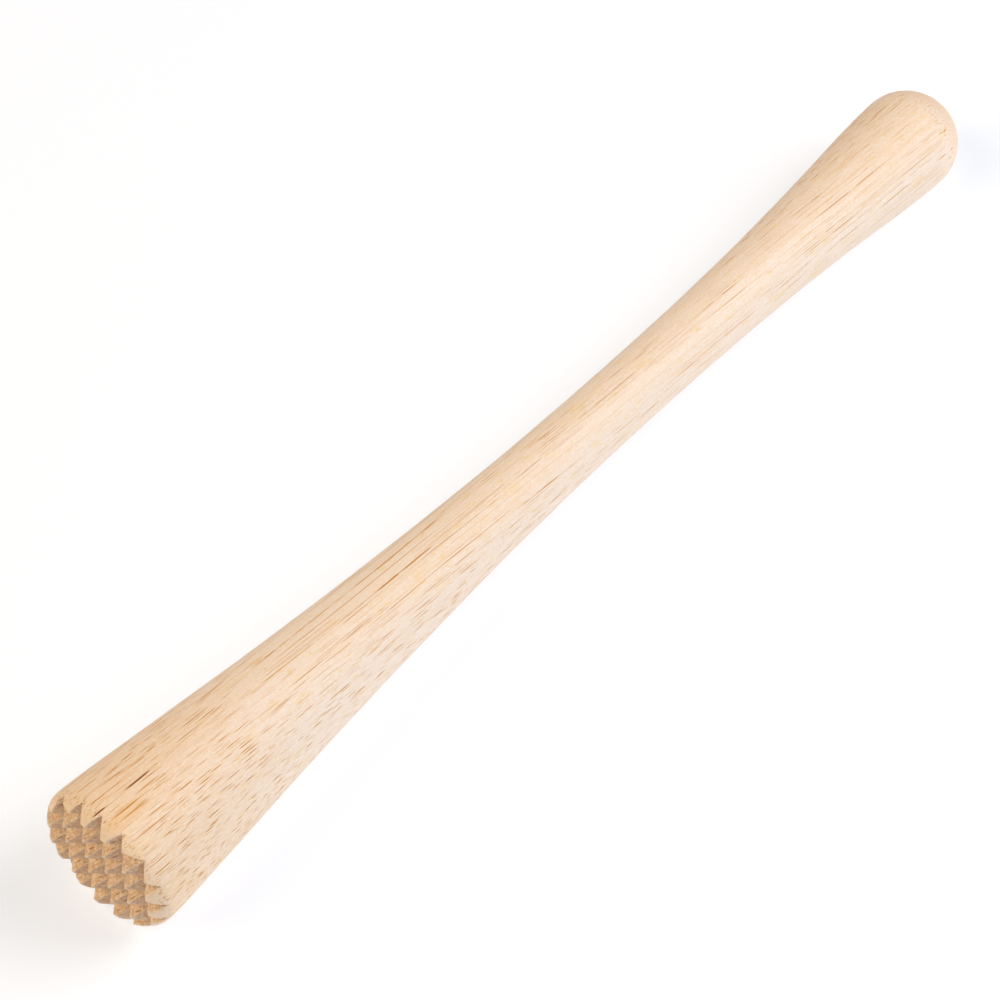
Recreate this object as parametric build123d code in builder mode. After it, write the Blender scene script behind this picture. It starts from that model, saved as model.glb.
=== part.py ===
"""Wooden pounding mallet, turned from one piece of pale hardwood.

A flared head carries a grid of pyramid teeth on its end, the waist is slim, and the handle
swells to a round knob.  The mallet lies on its side, touching the surface under it with the
head's rim and with the knob.  +X points to the toothed end and +Z is up.  The origin is on
that surface, under the middle of the mallet.
"""
from build123d import *
import math
import os

# Turned outline, in millimetres.  A station is a distance along the axis from the striking face.
length = 305.0
head_radius = 19.0
rim_radius = 6.0
waist_station = 184.0
waist_radius = 8.5
knob_radius = 13.3
knob_station = length - knob_radius

# How far each curve of the outline keeps its direction at each end.
flare_hold = 11.5
waist_hold_to_head = 88.0
waist_hold_to_knob = 70.0
knob_hold = 18.0

# Teeth: two crossing sets of V grooves, cut a little off the axis both ways.
groove_pitch = 6.25
groove_depth = 4.35
tip_land = 0.4
side_shift = 0.65
height_shift = 0.5
groove_numbers = range(-3, 3)

# The axis slopes down from the thick head to the thinner knob.
rest_tilt = math.atan2(head_radius - knob_radius, knob_station - rim_radius)
to_knob = Vector(-math.cos(rest_tilt), 0, -math.sin(rest_tilt))
to_top = Vector(-math.sin(rest_tilt), 0, math.cos(rest_tilt))
face_centre = Vector(
    (knob_station * math.cos(rest_tilt) + knob_radius) / 2,
    0,
    knob_station * math.sin(rest_tilt) + knob_radius,
)

# Both planes start at the striking face with their x along the axis, towards the knob.
upright_plane = Plane(origin=face_centre, x_dir=to_knob, z_dir=(0, 1, 0))
level_plane = Plane(origin=face_centre, x_dir=to_knob, z_dir=-to_top)

# A V groove's outline: its valley, and its two edges carried on as far again past the face.
groove_half_width = (groove_pitch - tip_land) / 2
groove_outline = [
    (groove_depth, 0),
    (-groove_depth, 2 * groove_half_width),
    (-groove_depth, -2 * groove_half_width),
]

with BuildPart() as mallet:
    # Flat striking face, rounded rim, flare down to the waist, handle, round knob.
    with BuildSketch(upright_plane):
        with BuildLine():
            Line((0, 0), (0, head_radius - rim_radius))
            CenterArc((rim_radius, head_radius - rim_radius), rim_radius, 90, 90)
            Bezier(
                (rim_radius, head_radius),
                (rim_radius + flare_hold, head_radius),
                (waist_station - waist_hold_to_head, waist_radius),
                (waist_station, waist_radius),
            )
            Bezier(
                (waist_station, waist_radius),
                (waist_station + waist_hold_to_knob, waist_radius),
                (knob_station - knob_hold, knob_radius),
                (knob_station, knob_radius),
            )
            CenterArc((knob_station, 0), knob_radius, 0, 90)
            Line((length, 0), (0, 0))
        make_face()
    revolve(axis=Axis(face_centre, to_knob))

    # Grooves that run level across the face, then grooves that run up it.
    for plane, shift in ((upright_plane, height_shift), (level_plane, side_shift)):
        with BuildSketch(plane):
            with Locations([(0, shift + number * groove_pitch) for number in groove_numbers]):
                Polygon(*groove_outline, align=None)
        extrude(amount=2 * head_radius, both=True, mode=Mode.SUBTRACT)

mallet.part.label = "turned_mallet"

os.makedirs("parts", exist_ok=True)
export_step(mallet.part, "parts/turned_mallet.step")
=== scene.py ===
"""Looks of the wooden pounding mallet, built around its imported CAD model.

The mallet is one turned piece of pale hardwood, so one detailed mesh stands for it.  A point
on it has a station, the distance along its axis from the striking face, and a side and a
height, its distances from the axis.  Lengths are in metres.
"""

import math
from types import SimpleNamespace

import bmesh
import bpy
import numpy as np
from mathutils import Matrix, Vector, noise
from mathutils.geometry import delaunay_2d_cdt


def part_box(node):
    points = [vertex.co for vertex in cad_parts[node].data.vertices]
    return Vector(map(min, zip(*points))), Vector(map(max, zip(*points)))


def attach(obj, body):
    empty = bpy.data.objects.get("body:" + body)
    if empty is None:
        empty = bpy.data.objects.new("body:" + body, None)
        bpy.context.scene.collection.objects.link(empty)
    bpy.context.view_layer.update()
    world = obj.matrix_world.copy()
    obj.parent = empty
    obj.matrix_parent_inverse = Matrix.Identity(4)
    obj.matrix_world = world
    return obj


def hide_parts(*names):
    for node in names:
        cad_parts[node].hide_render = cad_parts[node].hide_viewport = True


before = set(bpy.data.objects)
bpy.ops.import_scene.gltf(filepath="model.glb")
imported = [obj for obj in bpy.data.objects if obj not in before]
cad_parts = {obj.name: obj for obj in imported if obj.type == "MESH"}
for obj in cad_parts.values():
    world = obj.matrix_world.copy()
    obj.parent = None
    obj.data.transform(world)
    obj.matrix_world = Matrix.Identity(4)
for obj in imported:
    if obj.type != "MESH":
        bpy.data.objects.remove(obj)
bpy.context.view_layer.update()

mm = 0.001

# The turned outline, as in the CAD model.
length = 305.0 * mm
head_radius = 19.0 * mm
rim_radius = 6.0 * mm
waist_station = 184.0 * mm
waist_radius = 8.5 * mm
knob_radius = 13.3 * mm
knob_station = length - knob_radius
flare_hold = 11.5 * mm
waist_hold_to_head = 88.0 * mm
waist_hold_to_knob = 70.0 * mm
knob_hold = 18.0 * mm

# The grooves between the teeth, as in the CAD model.
groove_pitch = 6.25 * mm
groove_depth = 4.35 * mm
tip_land = 0.4 * mm
side_shift = 0.65 * mm
height_shift = 0.5 * mm
first_groove = -3
last_groove = 2

# How the mallet lies: its axis slopes down from the thick head to the knob.
lowest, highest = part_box("turned_mallet")
tilt = math.atan2(head_radius - knob_radius, knob_station - rim_radius)
to_knob = np.array((-math.cos(tilt), 0.0, -math.sin(tilt)))
to_side = np.array((0.0, 1.0, 0.0))
to_top = np.array((-math.sin(tilt), 0.0, math.cos(tilt)))
knob_centre = np.array((lowest.x + knob_radius, 0.0, lowest.z + knob_radius))
face_centre = knob_centre - knob_station * to_knob

# The mesh: how fine it is, and how the wood differs from the exact CAD shape.
steps_around = 240
rim_steps = 4
flare_steps = 120
handle_steps = 72
knob_steps = 24
steps_per_pitch = 36
grid_step = groove_pitch / steps_per_pitch
grid_radius = 18.8 * mm
edge_wear = 0.06 * mm
valley_wear = 0.04 * mm
tip_wear = 0.16 * mm
turning_waves = 0.08 * mm
long_wave = 24 * mm
short_wave = 9 * mm
cut_roughness = 0.02 * mm
coarse_tear = 1.6 * mm
fine_tear = 0.55 * mm
wear_seed = 7

# How far each measure of the toothed end fades: off a cut face, down from a tip, off a ridge.
cut_fade = 0.25 * mm
tip_reach = 0.7 * mm
ridge_width = 0.3 * mm

# How the fibres lie in the mallet: two directions across it, their slant, and their bends in
# millimetres.  Distances along the wood are in millimetres from the waist, towards the knob.
grain_side = np.array((0.009, 0.881, -0.473))
grain_front = np.cross(grain_side, to_knob)
grain_slant = 0.045
head_grain_bend = 6.6
knob_grain_bend = 4.9
knob_bend_range = (25.0, 120.0)
grain_waver = 0.7
head_fade = (-185.0, -120.0)

# How much closer the pores lie than their spacing says, across the wood and in front.
vessel_packing = (1.3, 0.80, 1.0)

# The relief of the wood's surface: open pores, raised fibres and torn cut faces.
pore_depth = 0.03 * mm
fibre_height = 0.01 * mm
tear_height = 0.10 * mm

# Colours of the ground, from its palest bands to its warm ends.
cream_light = (0.975, 0.834, 0.728)
cream_dark = (0.925, 0.752, 0.605)
ring_colour = (0.89, 0.66, 0.41)
yellow_colour = (0.93, 0.71, 0.38)
head_colour = (0.89, 0.61, 0.36)
knob_colour = (0.86, 0.60, 0.36)
end_grain_colour = (0.75, 0.52, 0.33)

# Colours of the fibres, the mottling and the soft streaks.
fibre_pale = (1.0, 0.90, 0.79)
fibre_dark = (0.82, 0.54, 0.29)
mottle_pale = (1.0, 0.91, 0.80)
mottle_dark = (0.84, 0.59, 0.38)
soft_streak_colour = (0.84, 0.59, 0.36)

# Colours of the pores and of the head's own marks.
halo_colour = (0.88, 0.55, 0.22)
fine_pore_colour = (0.68, 0.35, 0.11)
coarse_pore_colour = (0.56, 0.24, 0.045)
stain_colour = (0.88, 0.56, 0.27)
streak_colour = (0.64, 0.29, 0.06)
dark_pore_edge = (0.58, 0.28, 0.09)
dark_pore_core = (0.24, 0.08, 0.03)

# Colours of the teeth's cut faces.
torn_light = (0.89, 0.69, 0.49)
torn_dark = (0.60, 0.39, 0.24)
fleck_colour = (0.55, 0.26, 0.07)
# Painted shade on the teeth's cut faces that face sideways.
hole_colour = (0.30, 0.13, 0.05)
side_shade_colour = (0.42, 0.24, 0.16)
# A pale painted highlight on the teeth's tips and ridges.
ridge_highlight_colour = (0.93, 0.78, 0.64)

# The light that the floor and the studio wall give off, and the wall's soft top, as angles
# above the horizon.
floor_colour = (0.88, 0.925, 1.0)
floor_glow = 0.61
wall_full = math.radians(8)
wall_end = math.radians(13)
floor_half_size = 4.0

# The softboxes, which all stand as far from the origin.
softbox_size = 1.2
softbox_distance = 1.8

# Marks on the head, as places in the grain in millimetres: across it, in front, along it, and
# half their length.  The streaks also have a strength from 0 to 1.
orange_streaks = [
    (1.9, 11.3, -174.3, 6.4, 1.0),
    (3.35, 11.7, -174.0, 6.0, 0.95),
    (8.6, 11.9, -173.5, 9.5, 0.9),
    (0.75, 10.5, -167.0, 5.4, 0.85),
    (-6.8, 5.1, -169.0, 3.8, 0.7),
]
dark_pores = [
    (-1.3, 9.5, -179.4, 2.9),
    (-1.45, 9.6, -167.6, 6.0),
]


def at(station, side, height):
    """Points in the row frame, from arrays of stations, sides and heights."""
    return (
        face_centre
        + np.multiply.outer(station, to_knob)
        + np.multiply.outer(side, to_side)
        + np.multiply.outer(height, to_top)
    )


def arc(centre_station, centre_radius, radius, start, end, steps):
    """Stations and radii along an arc of the outline, from angle start to angle end."""
    angle = np.linspace(start, end, steps + 1)
    stations = centre_station - radius * np.cos(angle)
    return np.column_stack((stations, centre_radius + radius * np.sin(angle)))


def bezier(start, leave, arrive, end, steps):
    """Stations and radii along a cubic curve of the outline."""
    t = np.linspace(0, 1, steps + 1)[:, None]
    weights = ((1 - t) ** 3, 3 * t * (1 - t) ** 2, 3 * t * t * (1 - t), t ** 3)
    return sum(w * np.array(point) for w, point in zip(weights, (start, leave, arrive, end)))


def outline():
    """Stations and radii from the edge of the toothed grid to the tip of the knob."""
    grid_edge = math.asin((grid_radius - head_radius + rim_radius) / rim_radius)
    rim_centre = head_radius - rim_radius
    rim = arc(rim_radius, rim_centre, rim_radius, grid_edge, math.pi / 2, rim_steps)
    flare = bezier(
        (rim_radius, head_radius),
        (rim_radius + flare_hold, head_radius),
        (waist_station - waist_hold_to_head, waist_radius),
        (waist_station, waist_radius),
        flare_steps,
    )
    handle = bezier(
        (waist_station, waist_radius),
        (waist_station + waist_hold_to_knob, waist_radius),
        (knob_station - knob_hold, knob_radius),
        (knob_station, knob_radius),
        handle_steps,
    )
    knob = arc(knob_station, 0.0, knob_radius, math.pi / 2, math.pi, knob_steps)
    return np.vstack((rim[:-1], flare[:-1], handle[:-1], knob[:-1]))


def rim_station(radius):
    """Station of the uncut head's end: a flat face, then the rounded rim."""
    over = np.clip(radius - (head_radius - rim_radius), 0, rim_radius)
    return rim_radius - np.sqrt(rim_radius ** 2 - over ** 2)


def groove_station(offset):
    """Station of a groove's wall at an offset from the middle groove of its set."""
    groove = np.clip(np.round(offset / groove_pitch), first_groove, last_groove)
    from_valley = np.sqrt((offset - groove * groove_pitch) ** 2 + valley_wear ** 2)
    half_width = (groove_pitch - tip_land) / 2
    return groove_depth * (1 - from_valley / half_width)


def worn_larger(a, b):
    """The larger of two stations, with the ridge between them worn round."""
    return (a + b + np.sqrt((a - b) ** 2 + edge_wear ** 2)) / 2


def toothed_face(side, height):
    """Station of the toothed end, and two measures of its surface, from 0 to 1.

    The first is how far a point is on a cut face, and the second how near it is to a
    tooth's tip or to one of the ridges that run down from it.
    """
    rng = np.random.default_rng(wear_seed)
    teeth = last_groove - first_groove + 2
    lowered = tip_wear * rng.random((teeth, teeth)) ** 1.5
    column = np.floor((side - side_shift) / groove_pitch).astype(int) - first_groove + 1
    row = np.floor((height - height_shift) / groove_pitch).astype(int) - first_groove + 1
    uncut = rim_station(np.hypot(side, height))
    uncut = uncut + lowered[np.clip(row, 0, teeth - 1), np.clip(column, 0, teeth - 1)]
    upright = groove_station(side - side_shift)
    level = groove_station(height - height_shift)
    walls = worn_larger(upright, level)
    cut = np.clip((walls - uncut) / cut_fade + 0.5, 0, 1)
    tip = np.clip(1 - (walls - uncut) / tip_reach, 0, 1)
    corner = np.clip(1 - np.abs(upright - level) / ridge_width, 0, 1)
    # The last measure sets where the pale painted highlight lies on the teeth's tips and ridges.
    return worn_larger(uncut, walls), cut, np.maximum(tip, 0.8 * corner) * cut


def face_squares():
    """The squares of the grid over the toothed end, as the numbers of their first corner.

    Grid lines run along every valley and along the middle of every tooth.
    """
    reach = math.ceil(head_radius / grid_step) + steps_per_pitch
    inside = {
        (i, j)
        for i in range(-reach, reach)
        for j in range(-reach, reach)
        if math.hypot(side_shift + i * grid_step, height_shift + j * grid_step)
        < grid_radius - grid_step / 2
    }
    return {
        (i, j)
        for i, j in inside
        if (i + 1, j) in inside and (i, j + 1) in inside and (i + 1, j + 1) in inside
    }


def square_triangles(i, j):
    """A grid square's two triangles, divided along the corner ridges of its tooth."""
    half = steps_per_pitch // 2
    across = (i - half) % steps_per_pitch < half
    up = (j - half) % steps_per_pitch < half
    a, b, c, d = (i, j), (i + 1, j), (i + 1, j + 1), (i, j + 1)
    if across == up:
        return [(a, b, c), (a, c, d)]
    return [(a, b, d), (b, c, d)]


def face_mesh():
    """Sides and heights of the toothed end's points, and its triangles.

    The last points are a ring at grid_radius, where the rest of the mallet begins.
    """
    squares = face_squares()
    corners = [t for i, j in sorted(squares) for t in square_triangles(i, j)]
    index = {}
    for corner in corners:
        for point in corner:
            index.setdefault(point, len(index))
    triangles = [tuple(index[point] for point in corner) for corner in corners]
    grid = np.array(list(index), float) * grid_step + (side_shift, height_shift)
    angle = np.arange(steps_around) * 2 * math.pi / steps_around
    ring = grid_radius * np.column_stack((np.cos(angle), np.sin(angle)))
    places = np.vstack((grid, ring))

    # The strip between the grid's stepped edge and the ring.
    edges = {edge for t in triangles for edge in zip(t, t[1:] + t[:1])}
    stepped = sorted(edge for edge in edges if edge[::-1] not in edges)
    used = sorted({point for edge in stepped for point in edge})
    used += range(len(grid), len(places))
    local = {point: k for k, point in enumerate(used)}
    fixed = [(local[a], local[b]) for a, b in stepped]
    last = len(used) - 1
    fixed += [(last - k, last - (k + 1) % steps_around) for k in range(steps_around)]
    found = delaunay_2d_cdt([Vector(places[point] / mm) for point in used], fixed, [], 0, 1e-6)
    for triangle in found[2]:
        strip = tuple(used[found[3][k][0]] for k in triangle)
        middle = (places[list(strip)].mean(0) - (side_shift, height_shift)) / grid_step
        if tuple(np.floor(middle).astype(int)) not in squares:
            triangles.append(strip)
    return places, triangles


def mallet_mesh():
    """The whole mallet: toothed face, turned body and knob, as one closed mesh."""
    places, triangles = face_mesh()
    side, height = places.T
    station, cut, ridge = toothed_face(side, height)
    rows = outline()
    ring = len(places) - steps_around
    station[ring:] = rows[0, 0]
    cut[ring:] = 0
    ridge[ring:] = 0

    angle = np.arange(steps_around) * 2 * math.pi / steps_around
    body_station = np.repeat(rows[1:, 0], steps_around)
    body_side = np.multiply.outer(rows[1:, 1], np.cos(angle)).ravel()
    body_height = np.multiply.outer(rows[1:, 1], np.sin(angle)).ravel()
    for row in range(len(rows) - 1):
        for k in range(steps_around):
            a = ring + row * steps_around + k
            b = ring + row * steps_around + (k + 1) % steps_around
            triangles += [(a, a + steps_around, b), (b, a + steps_around, b + steps_around)]
    tip = ring + len(rows) * steps_around
    last_ring = tip - steps_around
    for k in range(steps_around):
        triangles.append((last_ring + k, tip, last_ring + (k + 1) % steps_around))

    points = at(
        np.concatenate((station, body_station, (length,))),
        np.concatenate((side, body_side, (0.0,))),
        np.concatenate((height, body_height, (0.0,))),
    )
    mesh = bpy.data.meshes.new("mallet_wood")
    mesh.from_pydata(points.tolist(), [], triangles)
    shape = bmesh.new()
    shape.from_mesh(mesh)
    bmesh.ops.recalc_face_normals(shape, faces=shape.faces)
    shape.to_mesh(mesh)
    shape.free()
    for name, measure in (("cut_face", cut), ("ridge", ridge)):
        attribute = mesh.attributes.new(name, "FLOAT", "POINT")
        attribute.data.foreach_set("value", np.pad(measure, (0, len(points) - len(measure))))
    mesh.polygons.foreach_set("use_smooth", [True] * len(mesh.polygons))
    return mesh


def wear(mesh):
    """Moves the points a little along their normals, as turning, sanding and cutting leave them."""
    cuts = mesh.attributes["cut_face"].data
    normals = [vertex.normal.copy() for vertex in mesh.vertices]
    for vertex, normal, cut in zip(mesh.vertices, normals, cuts):
        wave = noise.noise(vertex.co / long_wave) + 0.5 * noise.noise(vertex.co / short_wave)
        rough = noise.noise(vertex.co / fine_tear) + noise.noise(vertex.co / coarse_tear)
        vertex.co += normal * (turning_waves * wave + cut_roughness * rough * cut.value)
    mesh.update()


def add(tree, kind, sockets, **settings):
    """A new node, with its sockets linked or set, and its settings."""
    node = tree.nodes.new(kind)
    for name, setting in settings.items():
        setattr(node, name, setting)
    for name, content in sockets.items():
        if isinstance(content, bpy.types.NodeSocket):
            tree.links.new(content, node.inputs[name])
        else:
            node.inputs[name].default_value = content
    return node


def number(tree, operation, *terms):
    """One step of arithmetic on numbers."""
    sockets = dict(enumerate(terms))
    return add(tree, "ShaderNodeMath", sockets, operation=operation).outputs[0]


def product(tree, *terms):
    """Several numbers multiplied together, from the left."""
    result = terms[0]
    for term in terms[1:]:
        result = number(tree, "MULTIPLY", result, term)
    return result


def vector(tree, operation, sockets, output="Vector"):
    """One step of arithmetic on vectors."""
    return add(tree, "ShaderNodeVectorMath", sockets, operation=operation).outputs[output]


def between(tree, value, low, high, to_low=0.0, to_high=1.0):
    """A smooth ramp: to_low where value is below low, and to_high where it is above high."""
    sockets = {
        "Value": value,
        "From Min": low,
        "From Max": high,
        "To Min": to_low,
        "To Max": to_high,
    }
    return add(tree, "ShaderNodeMapRange", sockets, interpolation_type="SMOOTHSTEP").outputs[0]


def stretched(tree, place, across, along):
    """The grain position, with its features that many millimetres wide and long."""
    return vector(tree, "MULTIPLY", {0: place, 1: (1 / across, 1 / across, 1 / along)})


def cloud(tree, place, across, along, detail=2.0, roughness=0.5):
    """Soft noise around 0.5, with features that many millimetres wide and long."""
    sockets = {
        "Vector": stretched(tree, place, across, along),
        "Scale": 1.0,
        "Detail": detail,
        "Roughness": roughness,
    }
    return add(tree, "ShaderNodeTexNoise", sockets).outputs["Fac"]


def opaque(colour):
    """A colour given as three numbers with its alpha, and a linked colour as it is."""
    return (*colour, 1) if isinstance(colour, tuple) else colour


def blend_colour(tree, factor, base, over):
    """Colour over laid on colour base, as far as the factor says."""
    sockets = {0: factor, 6: opaque(base), 7: opaque(over)}
    return add(tree, "ShaderNodeMix", sockets, data_type="RGBA").outputs[2]


def grain_place(tree):
    """Position in the wood, in millimetres: X and Y across the fibres, Z along them.

    The fibres run a little aslant of the mallet's axis and follow part of its outline, so the
    pores show as short dashes on the flare and as long ones on the handle.
    """
    position = add(tree, "ShaderNodeTexCoord", {}).outputs["Object"]
    middle = tuple(face_centre + waist_station * to_knob)
    from_waist = vector(tree, "SUBTRACT", {0: position, 1: middle})
    across, front, along = (
        vector(tree, "DOT_PRODUCT", {0: from_waist, 1: tuple(direction / mm)}, "Value")
        for direction in (grain_side, grain_front, to_knob)
    )
    slant = number(tree, "MULTIPLY", along, grain_slant)
    head_bend = between(tree, along, -waist_station / mm, 0.0, head_grain_bend, 0.0)
    knob_bend = between(tree, along, *knob_bend_range, 0.0, knob_grain_bend)
    across = number(tree, "SUBTRACT", across, slant)
    front = number(tree, "SUBTRACT", front, number(tree, "ADD", head_bend, knob_bend))
    return add(tree, "ShaderNodeCombineXYZ", {0: across, 1: front, 2: along}).outputs[0]


def waver(tree, place):
    """The grain position, wandering sideways a little along the fibres."""
    sockets = {"Vector": stretched(tree, place, 7.0, 30.0), "Scale": 1.0, "Detail": 1.0}
    drift = add(tree, "ShaderNodeTexNoise", sockets).outputs["Color"]
    drift = vector(tree, "SUBTRACT", {0: drift, 1: (0.5, 0.5, 0.5)})
    drift = vector(tree, "SCALE", {0: drift, 3: grain_waver})
    return vector(tree, "ADD", {0: place, 1: drift})


def vessels(tree, place, spacing, width, share, shift):
    """Long open pores, from their places in a cross-section.

    Gives how far a point is from the nearest pore's middle, in pore radii, and how strong
    that pore is, from 0 to 1.
    """
    sockets = {0: place, 1: vessel_packing, 2: (shift, 1.7 * shift, 0.0)}
    sockets = {"Vector": vector(tree, "MULTIPLY_ADD", sockets), "Scale": 1 / spacing}
    cells = add(tree, "ShaderNodeTexVoronoi", sockets, voronoi_dimensions="2D")
    chance = add(tree, "ShaderNodeSeparateColor", {0: cells.outputs["Color"]})
    here = number(tree, "LESS_THAN", chance.outputs[0], share)
    strength = product(tree, here, between(tree, chance.outputs[2], 0.0, 1.0, 0.25, 1.0))
    smallest = 0.36 * width / spacing
    largest = 0.56 * width / spacing
    radius = between(tree, chance.outputs[1], 0.0, 1.0, smallest, largest)
    return number(tree, "DIVIDE", cells.outputs["Distance"], radius), strength


def patch(tree, place, centre, radii):
    """An ellipsoid in the wood: 1 in its middle, falling to 0 at its surface."""
    out = vector(tree, "SUBTRACT", {0: place, 1: centre})
    out = vector(tree, "DIVIDE", {0: out, 1: radii})
    distance = vector(tree, "LENGTH", {0: out}, "Value")
    return between(tree, distance, 0.25, 1.0, 1.0, 0.0)


def head_marks(tree, place, colour):
    """The head's own marks: a stained patch, five orange streaks and two dark open pores."""
    stain = product(tree, patch(tree, place, (3.0, 11.6, -176.0), (3.4, 5.0, 9.0)), 0.5)
    colour = blend_colour(tree, stain, colour, stain_colour)
    for across, front, along, half_length, strength in orange_streaks:
        streak = patch(tree, place, (across, front, along), (0.26, 3.0, half_length))
        colour = blend_colour(tree, product(tree, streak, strength), colour, streak_colour)
    for across, front, along, half_length in dark_pores:
        pore = patch(tree, place, (across, front, along), (0.30, 3.0, half_length))
        colour = blend_colour(tree, pore, colour, dark_pore_edge)
        colour = blend_colour(tree, between(tree, pore, 0.35, 0.8), colour, dark_pore_core)
    return colour


def open_grain(tree, place):
    """How open the pores are, from 0 to 1: few show on the knob's +Y side and the waist's -Y."""
    handle = patch(tree, place, (8.3, 3.5, 65.0), (5.0, 12.0, 120.0))
    waist = patch(tree, place, (-7.5, 3.0, 15.0), (4.5, 10.0, 80.0))
    closed = product(tree, number(tree, "MAXIMUM", handle, waist), 0.85)
    return number(tree, "SUBTRACT", 1.0, closed)


def surface_measures(tree):
    """What the wood's colour depends on at each point of its surface."""
    here = SimpleNamespace()
    here.straight = grain_place(tree)
    here.place = waver(tree, here.straight)
    separate = add(tree, "ShaderNodeSeparateXYZ", {0: here.place})
    here.across, here.front, here.along = separate.outputs
    here.head = between(tree, here.along, *head_fade, 1.0, 0.0)
    here.cut = add(tree, "ShaderNodeAttribute", {}, attribute_name="cut_face").outputs["Fac"]
    # Where the pale painted highlight on the teeth's tips and ridges goes.
    here.ridge = add(tree, "ShaderNodeAttribute", {}, attribute_name="ridge").outputs["Fac"]
    normal = add(tree, "ShaderNodeNewGeometry", {}).outputs["Normal"]
    here.end_grain = vector(tree, "DOT_PRODUCT", {0: normal, 1: tuple(to_knob)}, "Value")
    # How far the normal faces sideways, which sets the painted shade on the teeth's side faces.
    here.sideways = vector(tree, "DOT_PRODUCT", {0: normal, 1: tuple(to_side)}, "Value")
    return here


def ground_colour(tree, here):
    """Cream with broad bands, growth rings and yellow patches, warmer on the head and knob."""
    colour = blend_colour(tree, cloud(tree, here.place, 5.0, 60.0), cream_dark, cream_light)
    wander = cloud(tree, here.place, 6.0, 40.0)
    ring = number(tree, "MULTIPLY_ADD", wander, 9.0, number(tree, "MULTIPLY", here.front, 1.9))
    ring = product(tree, between(tree, number(tree, "SINE", ring), -0.2, 1.0), 0.10)
    colour = blend_colour(tree, ring, colour, ring_colour)
    for width, reach, strength in ((3.0, 7.0, 0.45), (1.1, 2.8, 0.75)):
        yellow = between(tree, cloud(tree, here.place, width, reach), 0.58, 0.74, 0.0, strength)
        colour = blend_colour(tree, yellow, colour, yellow_colour)
    colour = blend_colour(tree, product(tree, here.head, 0.53), colour, head_colour)
    knob = between(tree, here.along, 40.0, 105.0, 0.0, 0.14)
    knob = product(tree, knob, between(tree, here.across, -9.0, 7.0, 1.4, 0.0))
    colour = blend_colour(tree, knob, colour, knob_colour)
    end = between(tree, here.end_grain, 0.0, 0.6, 0.0, 0.5)
    return blend_colour(tree, end, colour, end_grain_colour)


def fibre_colour(tree, here, colour):
    """The colour with fine fibres, a faint mottling and soft streaks, and the fibres alone."""
    fibres = cloud(tree, here.place, 0.36, 5.0, 3.0, 0.65)
    mottle = cloud(tree, here.place, 0.42, 0.8, 2.0, 0.6)
    streaks = cloud(tree, here.place, 1.3, 22.0, 2.0, 0.5)
    for field, low, high, to_low, to_high, over in (
        (fibres, 0.28, 0.48, 0.34, 0.0, fibre_pale),
        (fibres, 0.50, 0.68, 0.0, 0.20, fibre_dark),
        (mottle, 0.48, 0.70, 0.0, 0.30, mottle_dark),
        (mottle, 0.30, 0.48, 0.42, 0.0, mottle_pale),
        (streaks, 0.50, 0.74, 0.0, 0.09, soft_streak_colour),
    ):
        factor = between(tree, field, low, high, to_low, to_high)
        colour = blend_colour(tree, factor, colour, over)
    return colour, fibres


def pore_colour(tree, here, colour):
    """The colour with its open pores, and how deep in a large pore each point is.

    Large brown pores have an orange halo, and there are many small faint ones.  All of them
    fade on the head's rim and on the end of the knob.
    """
    at_rim = between(tree, here.end_grain, -0.70, -0.30, 0.06, 1.0)
    polished = product(tree, at_rim, between(tree, here.end_grain, 0.05, 0.65, 1.0, 0.28))
    opened = open_grain(tree, here.straight)
    filled = between(tree, cloud(tree, here.place, 0.9, 5.0), 0.38, 0.54, 0.28, 1.0)
    bold = number(tree, "MULTIPLY_ADD", here.head, 0.5, 1.0)
    from_pore, pore = vessels(tree, here.place, 0.77, 0.33, 0.92, 0.0)
    shown = product(tree, pore, filled, opened, polished, bold)
    halo = product(tree, between(tree, from_pore, 0.6, 2.6, 0.40, 0.0), shown)
    coarse = product(tree, between(tree, from_pore, 0.45, 1.0, 1.0, 0.0), shown)
    sparse = product(tree, between(tree, here.along, -60.0, 10.0, 1.0, 0.7), opened)
    from_fine, fine = vessels(tree, here.place, 0.62, 0.24, 0.8, 31.0)
    fine = product(tree, between(tree, from_fine, 0.5, 1.1, 0.9, 0.0), fine, polished, sparse)
    colour = blend_colour(tree, halo, colour, halo_colour)
    colour = blend_colour(tree, fine, colour, fine_pore_colour)
    return blend_colour(tree, coarse, colour, coarse_pore_colour), coarse


def torn_colour(tree, here):
    """Colour of the teeth's cut faces, torn end grain, and the noise of their tearing."""
    rough_face = cloud(tree, here.place, 0.5, 1.6, 3.0, 0.65)
    colour = blend_colour(tree, between(tree, rough_face, 0.34, 0.66), torn_dark, torn_light)
    fleck = between(tree, cloud(tree, here.place, 0.42, 2.8, 2.0, 0.6), 0.54, 0.66, 0.0, 0.9)
    clump = between(tree, cloud(tree, here.place, 1.5, 3.0), 0.40, 0.62, 0.35, 1.0)
    colour = blend_colour(tree, product(tree, fleck, clump), colour, fleck_colour)
    tear = vector(tree, "MULTIPLY", {0: (-0.3, 0.0, 0.0), 1: here.along})
    torn_place = vector(tree, "ADD", {0: here.place, 1: tear})
    torn_place = vector(tree, "MULTIPLY", {0: torn_place, 1: (1.6, 1.0, 1.0)})
    from_hole, hole = vessels(tree, torn_place, 2.0, 0.85, 0.42, 13.0)
    hole = product(tree, between(tree, from_hole, 0.6, 1.1, 0.9, 0.0), hole)
    colour = blend_colour(tree, hole, colour, hole_colour)
    # Painted shade: the cut faces that face sideways are darker.
    side_shade = between(tree, number(tree, "ABSOLUTE", here.sideways), 0.3, 0.8, 0.0, 0.20)
    return blend_colour(tree, side_shade, colour, side_shade_colour), rough_face


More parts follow.
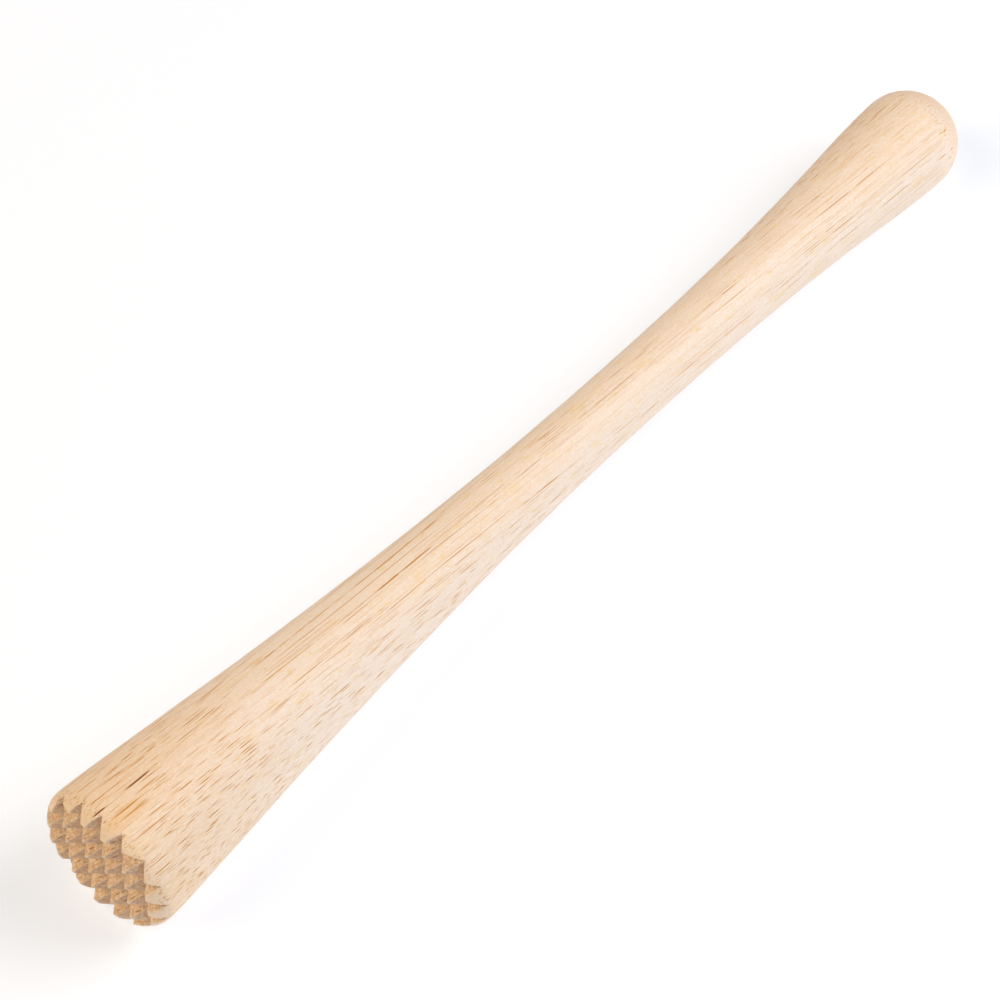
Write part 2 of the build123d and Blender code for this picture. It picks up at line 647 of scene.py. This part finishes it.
def wood():
    """Pale sanded hardwood: cream, with open brown pores, soft bands and fine fibres."""
    material = bpy.data.materials.new("pale_hardwood")
    material.use_nodes = True
    tree = material.node_tree
    shader = tree.nodes["Principled BSDF"]
    here = surface_measures(tree)
    colour, fibres = fibre_colour(tree, here, ground_colour(tree, here))
    colour, coarse = pore_colour(tree, here, colour)
    colour = head_marks(tree, here.straight, colour)
    torn, rough_face = torn_colour(tree, here)
    colour = blend_colour(tree, product(tree, here.cut, 0.88), colour, torn)
    # A pale painted highlight along the teeth's tips and ridges.
    colour = blend_colour(tree, product(tree, here.ridge, 0.75), colour, ridge_highlight_colour)

    deep = number(tree, "MULTIPLY", coarse, -pore_depth)
    relief = number(tree, "MULTIPLY_ADD", fibres, fibre_height, deep)
    relief = number(tree, "ADD", relief, product(tree, rough_face, here.cut, tear_height))
    bump = add(tree, "ShaderNodeBump", {"Strength": 1.0, "Distance": 1.0, "Height": relief})

    shader.inputs["Specular IOR Level"].default_value = 0.25
    tree.links.new(colour, shader.inputs["Base Color"])
    tree.links.new(between(tree, fibres, 0.3, 0.7, 0.52, 0.66), shader.inputs["Roughness"])
    tree.links.new(bump.outputs[0], shader.inputs["Normal"])
    return material


def floor_paint():
    """A matt grey that glows a little, so that it shows white, as a lit studio floor does."""
    material = bpy.data.materials.new("floor_white")
    material.use_nodes = True
    shader = material.node_tree.nodes["Principled BSDF"]
    shader.inputs["Base Color"].default_value = (0.5, 0.5, 0.5, 1)
    shader.inputs["Roughness"].default_value = 0.9
    shader.inputs["Emission Color"].default_value = (*floor_colour, 1)
    shader.inputs["Emission Strength"].default_value = floor_glow
    return material


def build_mallet():
    """The mallet's one piece, which stands for its CAD node."""
    mesh = mallet_mesh()
    wear(mesh)
    mesh.materials.append(wood())
    piece = bpy.data.objects.new("mallet_wood", mesh)
    bpy.context.scene.collection.objects.link(piece)
    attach(piece, "root")
    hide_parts("turned_mallet")


def build_floor():
    """A plain pale floor that the mallet lies on."""
    half = floor_half_size
    corners = [(-half, -half), (half, -half), (half, half), (-half, half)]
    mesh = bpy.data.meshes.new("floor")
    mesh.from_pydata([(x, y, lowest.z) for x, y in corners], [], [(0, 1, 2, 3)])
    mesh.materials.append(floor_paint())
    floor = bpy.data.objects.new("floor", mesh)
    bpy.context.scene.collection.objects.link(floor)


def build_camera():
    """A long lens from high on the toothed end's side, tipped a little to one side."""
    azimuth = math.radians(134.82)
    elevation = math.radians(53.03)
    roll = math.radians(-3.74)
    distance = 1.0087
    target = Vector((12.89 * mm, -2.96 * mm, 13.69 * mm))
    towards = Vector((
        math.cos(elevation) * math.sin(azimuth),
        -math.cos(elevation) * math.cos(azimuth),
        math.sin(elevation),
    ))
    data = bpy.data.cameras.new("camera")
    data.sensor_width = 36.0
    data.lens = 151.2
    data.clip_start = 0.05
    camera = bpy.data.objects.new("camera", data)
    camera.location = target + distance * towards
    turn = towards.to_track_quat("Z", "Y").to_matrix() @ Matrix.Rotation(roll, 3, "Z")
    camera.rotation_euler = turn.to_euler()
    bpy.context.scene.collection.objects.link(camera)
    bpy.context.scene.camera = camera


def softbox(name, direction, colour, power):
    """A large square studio light that points at the mallet."""
    data = bpy.data.lights.new(name, "AREA")
    data.size = softbox_size
    data.color = colour
    data.energy = power
    light = bpy.data.objects.new(name, data)
    direction = Vector(direction).normalized()
    light.location = softbox_distance * direction
    light.rotation_euler = direction.to_track_quat("Z", "Y").to_euler()
    bpy.context.scene.collection.objects.link(light)


def studio_walls():
    """A pale studio wall all round, as bright as the far floor, and dark overhead."""
    world = bpy.data.worlds.new("studio")
    world.use_nodes = True
    tree = world.node_tree
    direction = add(tree, "ShaderNodeTexCoord", {}).outputs["Generated"]
    height = add(tree, "ShaderNodeSeparateXYZ", {0: direction}).outputs[2]
    overhead = between(tree, height, math.sin(wall_full), math.sin(wall_end))
    wall = tuple(floor_glow * part for part in floor_colour)
    colour = blend_colour(tree, overhead, wall, (0, 0, 0))
    tree.links.new(colour, tree.nodes["Background"].inputs["Color"])
    return world


def build_light():
    """A softbox on each side of the camera, and a weak cool one low on its right."""
    softbox("left_softbox", (0.8, -0.46, 1.0), (1.0, 0.81, 0.55), 20.9)
    softbox("right_softbox", (-0.75, 0.66, 1.0), (0.97, 0.97, 1.0), 27.4)
    softbox("low_softbox", (0.0, 1.0, 0.35), (0.50, 0.73, 1.0), 2.9)
    bpy.context.scene.world = studio_walls()


build_camera()
build_mallet()
build_floor()
build_light()
bpy.context.scene.view_settings.view_transform = "Standard"
